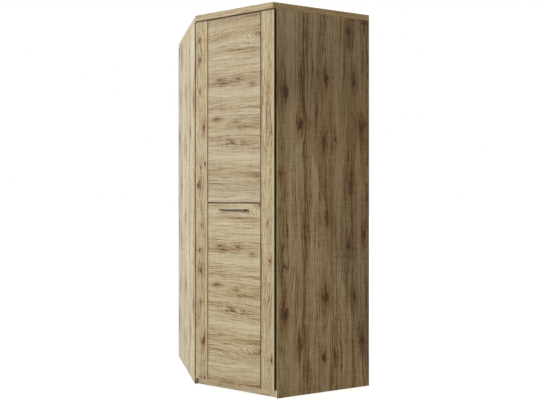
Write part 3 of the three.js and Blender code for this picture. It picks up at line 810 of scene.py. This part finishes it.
FINISHES = {
    # The right side panel wears side_oak, the shaded copy: darker and with more contrast, which
    # is painted shade
    "side_oak": oak(
        "side_oak", beside_door, SIDE_KNOTS, SIDE_BANDS, SIDE_DEPTH,
        fine=1.35, broad=2.2, ragged=1.1, longer=1.7, shift=0.02,
        tint=SHADED_SIDE_TINT, repeat=SIDE_REPEAT, seed=3.1, painted_light=side_painted_light,
    ),
    # The left side panel's lit copy: paler and with less contrast, which is painted light
    "lit_left_side_oak": oak(
        "lit_left_side_oak", beside_door, SIDE_KNOTS, SIDE_BANDS, SIDE_DEPTH,
        fine=1.35, broad=1.25, longer=1.7, shift=0.045, knotty=0.75,
        tint=LIT_SIDE_TINT, repeat=SIDE_REPEAT, seed=3.1, painted_light=side_painted_light,
    ),
    "panel_oak": oak(
        "panel_oak", on_panels, UPPER_PANEL_KNOTS, PANEL_BANDS, PANEL_REACH,
        broad=1.05, longer=1.35, shift=0.01, knotty=0.60,
        tint=GREY_PRINT, seed=7.7, painted_light=panel_painted_light, figures=UPPER_FIGURES,
    ),
    "lower_panel_oak": oak(
        "lower_panel_oak", on_panels, LOWER_PANEL_KNOTS, PANEL_BANDS, PANEL_REACH,
        fine=1.12, broad=1.05, longer=1.35, shift=0.06, knotty=0.60,
        tint=YELLOW_PRINT, seed=7.7, painted_light=panel_painted_light, figures=LOWER_FIGURES,
    ),
    "left_stile_oak": oak(
        "left_stile_oak", on_left_stile, LEFT_STILE_KNOTS, LEFT_STILE_BANDS, STILE_WIDTH,
        fine=1.2, broad=0.75, ragged=0.8, shift=0.035,
        tint=YELLOW_PRINT, repeat=LEFT_STILE_REPEAT, seed=12.4, painted_light=stile_painted_light,
    ),
    "right_stile_oak": oak(
        "right_stile_oak", on_right_stile, RIGHT_STILE_KNOTS, RIGHT_STILE_BANDS, STILE_WIDTH,
        fine=1.2, shift=0.02, tint=YELLOW_PRINT, seed=15.9, painted_light=stile_painted_light,
    ),
    "top_oak": oak(
        "top_oak", on_flat_board, INNER_KNOTS, INNER_BANDS, INNER_REACH, seed=21.3,
    ),
    "inner_oak": oak(
        "inner_oak", on_flat_board, INNER_KNOTS, INNER_BANDS, INNER_REACH, seed=24.8,
    ),
    "upright_oak": oak(
        "upright_oak", on_upright, INNER_KNOTS, INNER_BANDS, INNER_REACH, seed=29.2,
    ),
    "plinth_oak": oak(
        "plinth_oak", on_plinth, INNER_KNOTS[:1], INNER_BANDS, PLINTH_REACH, seed=33.6,
    ),
    "back_hardboard": hardboard(),
    "dowel_beech": beech(),
    "rail_chrome": metal(
        "rail_chrome", paint(196, 198, 200), paint(222, 223, 224), 0.16, (6.0, 700.0, 700.0),
    ),
    "hinge_steel": metal(
        "hinge_steel", paint(168, 168, 166), paint(198, 198, 195), 0.30, (300.0, 300.0, 300.0),
        shaded_knuckles=True,
    ),
    "handle_graphite": metal(
        "handle_graphite", paint(40, 35, 36), paint(56, 49, 51), 0.38, (12.0, 1800.0, 1800.0),
        metallic=0.75,
    ),
    "handle_black": plastic("handle_black", paint(20, 19, 19), paint(34, 32, 32), 0.42),
    "foot_plastic": plastic("foot_plastic", paint(24, 22, 21), paint(40, 37, 35), 0.55),
    "pad_rubber": plastic(
        "pad_rubber", paint(196, 196, 190), paint(216, 216, 210), 0.35, grain=700.0,
    ),
}

# Nodes whose finish differs from that of their slot: their own print, or for the left side panel
# a lit copy of the side panels' print, which is painted light
OWN_FINISH = {
    "left_side_panel": "lit_left_side_oak",
    "left_stile": "left_stile_oak",
    "lower_panel": "lower_panel_oak",
    "right_stile": "right_stile_oak",
    "rear_corner_post": "upright_oak",
}

EDGE_RADII = {
    "side_oak": 0.8 * MM,
    "top_oak": 1.0 * MM,
    "inner_oak": 0.8 * MM,
    "plinth_oak": 0.8 * MM,
    "stile_oak": 0.6 * MM,
    "panel_oak": 0.5 * MM,
    "handle_graphite": 0.4 * MM,
    "handle_black": 0.5 * MM,
    "hinge_steel": 0.25 * MM,
}
EDGE_SEGMENTS = 2
SHARP_ANGLE = radians(35)
WELD_REACH = 0.01 * MM


def soften(node, radius):
    weld = node.modifiers.new("weld", "WELD")
    weld.merge_threshold = WELD_REACH
    bevel = node.modifiers.new("soft edges", "BEVEL")
    bevel.width = radius
    bevel.segments = EDGE_SEGMENTS
    bevel.limit_method = "ANGLE"
    bevel.angle_limit = SHARP_ANGLE
    bevel.harden_normals = True


def dress_nodes():
    """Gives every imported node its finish, and most of them softly rounded edges."""
    slot_of = {row["node"]: row["material_slot"] for row in frame["record"]["subparts"]}
    for name, node in NODES.items():
        finish = FINISHES[OWN_FINISH.get(name, slot_of[name])]
        node.data.materials.clear()
        node.data.materials.append(finish)
        edge = EDGE_RADII.get(slot_of[name])
        if edge:
            soften(node, edge)


dress_nodes()


# ---- Small fastenings

# A head is made on a square grid from -1 to 1 that is drawn out to a disc
SCREW_CELLS = 9
RECESS_REACH = 0.60
RECESS_HALF = 0.13
RECESS_FLOOR = 0.25
RECESS_TAPER = 0.85
DOME_DROP = 0.45
SCREW_TURN = 0.7

# Radius and height of each kind of head
CUP_HEAD = (3.3 * MM, 1.6 * MM)
PLATE_HEAD = (3.2 * MM, 1.6 * MM)
ARM_HEAD = (2.8 * MM, 1.4 * MM)
HANGER_HEAD = (3.0 * MM, 1.4 * MM)
HANDLE_HEAD = (3.8 * MM, 1.0 * MM)

# Directions; inward and forward are those of the left side panel
INWARD = Vector((HALF_ROOT, HALF_ROOT, 0.0))
FORWARD = Vector((HALF_ROOT, -HALF_ROOT, 0.0))
BACKWARD = Vector((0.0, 1.0, 0.0))
UP = Vector((0.0, 0.0, 1.0))
DOWN = Vector((0.0, 0.0, -1.0))

HINGES = ("hinge_1", "hinge_2", "hinge_3", "hinge_4")
CUP_MIDDLE = -0.2186  # along x
ARM_FACE = -0.50275  # along INWARD
PLATE_THICKNESS = 2.0 * MM
HANGER_FOOT = 4.0 * MM

# How far the screws are from the middle of what they hold
CUP_SCREW = 24.0 * MM
PLATE_SCREW = 19.0 * MM
ARM_SCREW = 9.0 * MM
HANGER_SCREW = 15.5 * MM


def parts_of(geometry, kind):
    return [part for part in geometry if isinstance(part, kind)]


def screw_shape(radius, height):
    """A domed screw head with a cross recess; its seat is level and it faces up."""
    shape = bmesh.new()
    bmesh.ops.create_grid(shape, x_segments=SCREW_CELLS, y_segments=SCREW_CELLS, size=1.0)
    for vertex in shape.verts:
        u, v = vertex.co.x, vertex.co.y
        vertex.co.x = u * sqrt(1 - v * v / 2)
        vertex.co.y = v * sqrt(1 - u * u / 2)
    recess = []
    for face in shape.faces:
        centre = face.calc_center_median()
        aside, along = sorted((abs(centre.x), abs(centre.y)))
        if along < RECESS_REACH and aside < RECESS_HALF:
            recess.append(face)
    for vertex in shape.verts:
        vertex.co.z = height * (1.0 - DOME_DROP * vertex.co.xy.length_squared)
        vertex.co.x *= radius
        vertex.co.y *= radius
    rim = [edge for edge in shape.edges if edge.is_boundary]
    walls = bmesh.ops.extrude_edge_only(shape, edges=rim)["geom"]
    for vertex in parts_of(walls, bmesh.types.BMVert):
        vertex.co.z = 0.0
    bmesh.ops.contextual_create(shape, geom=parts_of(walls, bmesh.types.BMEdge))
    sunk = bmesh.ops.extrude_face_region(shape, geom=recess)["geom"]
    bmesh.ops.delete(shape, geom=recess, context="FACES")
    for vertex in parts_of(sunk, bmesh.types.BMVert):
        vertex.co.z = height * RECESS_FLOOR
        vertex.co.x *= RECESS_TAPER
        vertex.co.y *= RECESS_TAPER
    bmesh.ops.recalc_face_normals(shape, faces=shape.faces)
    return shape


def add_screws(name, body, slot, head, seats):
    """One piece of screw heads; each seat is a place and the direction that the head faces."""
    one = screw_shape(*head)
    template = bpy.data.meshes.new(name + "_shape")
    one.to_mesh(template)
    one.free()
    joined = bmesh.new()
    for turn, (place, facing) in enumerate(seats):
        before = len(joined.verts)
        joined.from_mesh(template)
        joined.verts.ensure_lookup_table()
        fresh = joined.verts[before:]
        spin = Matrix.Rotation(turn * SCREW_TURN, 4, "Z")
        lean = facing.to_track_quat("Z", "Y").to_matrix().to_4x4()
        seat = Matrix.Translation(place) @ lean @ spin
        bmesh.ops.transform(joined, matrix=seat, verts=fresh)
    mesh = bpy.data.meshes.new(name)
    joined.to_mesh(mesh)
    joined.free()
    bpy.data.meshes.remove(template)
    mesh.materials.append(FINISHES[slot])
    piece = bpy.data.objects.new(name, mesh)
    bpy.context.scene.collection.objects.link(piece)
    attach(piece, body)


def span(name, direction):
    """The lowest and highest reach of a node along a direction."""
    reaches = [vertex.co.dot(direction) for vertex in NODES[name].data.vertices]
    return min(reaches), max(reaches)


def middle(name, direction):
    """The point on the direction's line through the origin, level with a node's middle."""
    return direction * (sum(span(name, direction)) / 2)


def hinge_screws():
    """Two screws in each cup flange and in each plate's wings, and two in each arm."""
    cups, plates, arms = [], [], []
    for hinge in HINGES:
        height = middle(hinge + "_cup", UP)
        plate = middle(hinge + "_plate", FORWARD) + height
        flange = Vector((CUP_MIDDLE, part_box(hinge + "_cup")[1].y, 0.0)) + height
        wing = INWARD * (span(hinge + "_plate", INWARD)[0] + PLATE_THICKNESS) + plate
        arm = INWARD * ARM_FACE + plate
        for side in (-1, 1):
            cups.append((flange + UP * (side * CUP_SCREW), BACKWARD))
            plates.append((wing + UP * (side * PLATE_SCREW), INWARD))
            arms.append((arm + FORWARD * (side * ARM_SCREW), INWARD))
    add_screws("hinge_cup_screws", "door", "hinge_steel", CUP_HEAD, cups)
    add_screws("hinge_plate_screws", "carcass", "hinge_steel", PLATE_HEAD, plates)
    add_screws("hinge_arm_screws", "carcass", "hinge_steel", ARM_HEAD, arms)


def hanger_screws():
    """Two screws in the foot of each rail hanger, which hold it under the shelf."""
    seats = []
    for hanger in ("left_rail_hanger", "right_rail_hanger"):
        low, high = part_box(hanger)
        foot = Vector(((low.x + high.x) / 2, (low.y + high.y) / 2, high.z - HANGER_FOOT))
        for side in (-1, 1):
            seats.append((foot + BACKWARD * (side * HANGER_SCREW), DOWN))
    add_screws("rail_hanger_screws", "carcass", "rail_chrome", HANGER_HEAD, seats)


def handle_screw_heads():
    """The domed, crossed tops of the two screws that hold the handle."""
    seats = []
    for screw in ("handle_screw_left", "handle_screw_right"):
        low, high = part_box(screw)
        top = Vector(((low.x + high.x) / 2, high.y, (low.z + high.z) / 2))
        seats.append((top, BACKWARD))
    add_screws("handle_screw_tops", "door", "hinge_steel", HANDLE_HEAD, seats)


hinge_screws()
hanger_screws()
handle_screw_heads()


# ---- Room, light and camera

FLOOR_HALF = 30.0
FLOOR_COLOUR = (0.30, 0.30, 0.30, 1.0)
FLOOR_GLOW = 0.88
SKY_LIGHT = (0.262, 0.156, 0.045, 1.0)

# Name, the direction from the wardrobe to the light, and strength
SUNS = (
    ("key", (-0.90, -1.0, 0.12), 3.10),
    ("back", (0.0, 1.0, 0.6), 1.6),
    ("above", (0.0, 0.0, 1.0), 0.9),
)
SUN_SPREAD = radians(30)

CAMERA_PLACE = (1.356, FRONT_LINE - 2.410, 1.0323)
CAMERA_TURN = radians(25)
FOCAL_PIXELS = 512.6
FRAME_WIDTH = 547
HORIZON_DROP = -2.4  # pixels
SENSOR_WIDTH = 36.0


def make_floor():
    """A white floor that keeps the wardrobe's shadow."""
    finish = Finish(bpy.data.materials.new("studio_floor"))
    strength = finish.seen("Camera", "Glossy") * FLOOR_GLOW
    glow = finish.node("ShaderNodeEmission", None, {"Color": WHITE, "Strength": strength})
    matt = finish.node("ShaderNodeBsdfDiffuse", None, {"Color": FLOOR_COLOUR})
    both = finish.node("ShaderNodeAddShader", None, {0: glow.outputs[0], 1: matt.outputs[0]})
    finish.node("ShaderNodeOutputMaterial", None, {0: both.outputs[0]})
    shape = bmesh.new()
    bmesh.ops.create_grid(shape, x_segments=1, y_segments=1, size=FLOOR_HALF)
    mesh = bpy.data.meshes.new("studio_floor")
    shape.to_mesh(mesh)
    shape.free()
    mesh.materials.append(finish.owner)
    floor = bpy.data.objects.new("studio_floor", mesh)
    bpy.context.scene.collection.objects.link(floor)


def make_sky():
    """Warm and dim as a light, white where it is seen."""
    world = bpy.data.worlds.new("studio_sky")
    bpy.context.scene.world = world
    finish = Finish(world)
    seen = finish.seen("Camera", "Glossy", "Transmission")
    light = finish.blend(seen, SKY_LIGHT, WHITE)
    background = finish.node("ShaderNodeBackground", None, {0: light})
    finish.node("ShaderNodeOutputWorld", None, {0: background.outputs[0]})


def add_sun(name, towards, strength):
    light = bpy.data.lights.new(name, "SUN")
    light.energy = strength
    light.angle = SUN_SPREAD
    lamp = bpy.data.objects.new(name, light)
    lamp.rotation_euler = Vector(towards).to_track_quat("Z", "Y").to_euler()
    bpy.context.scene.collection.objects.link(lamp)


def make_camera():
    """Stands where the photograph was taken from, and looks level."""
    data = bpy.data.cameras.new("camera")
    data.sensor_width = SENSOR_WIDTH
    data.lens = SENSOR_WIDTH * FOCAL_PIXELS / FRAME_WIDTH
    data.shift_y = HORIZON_DROP / FRAME_WIDTH
    camera = bpy.data.objects.new("camera", data)
    camera.location = CAMERA_PLACE
    camera.rotation_euler = (pi / 2, 0.0, CAMERA_TURN)
    bpy.context.scene.collection.objects.link(camera)
    bpy.context.scene.camera = camera


make_floor()
make_sky()
for sun in SUNS:
    add_sun(*sun)
make_camera()
bpy.context.scene.view_settings.view_transform = "Standard"
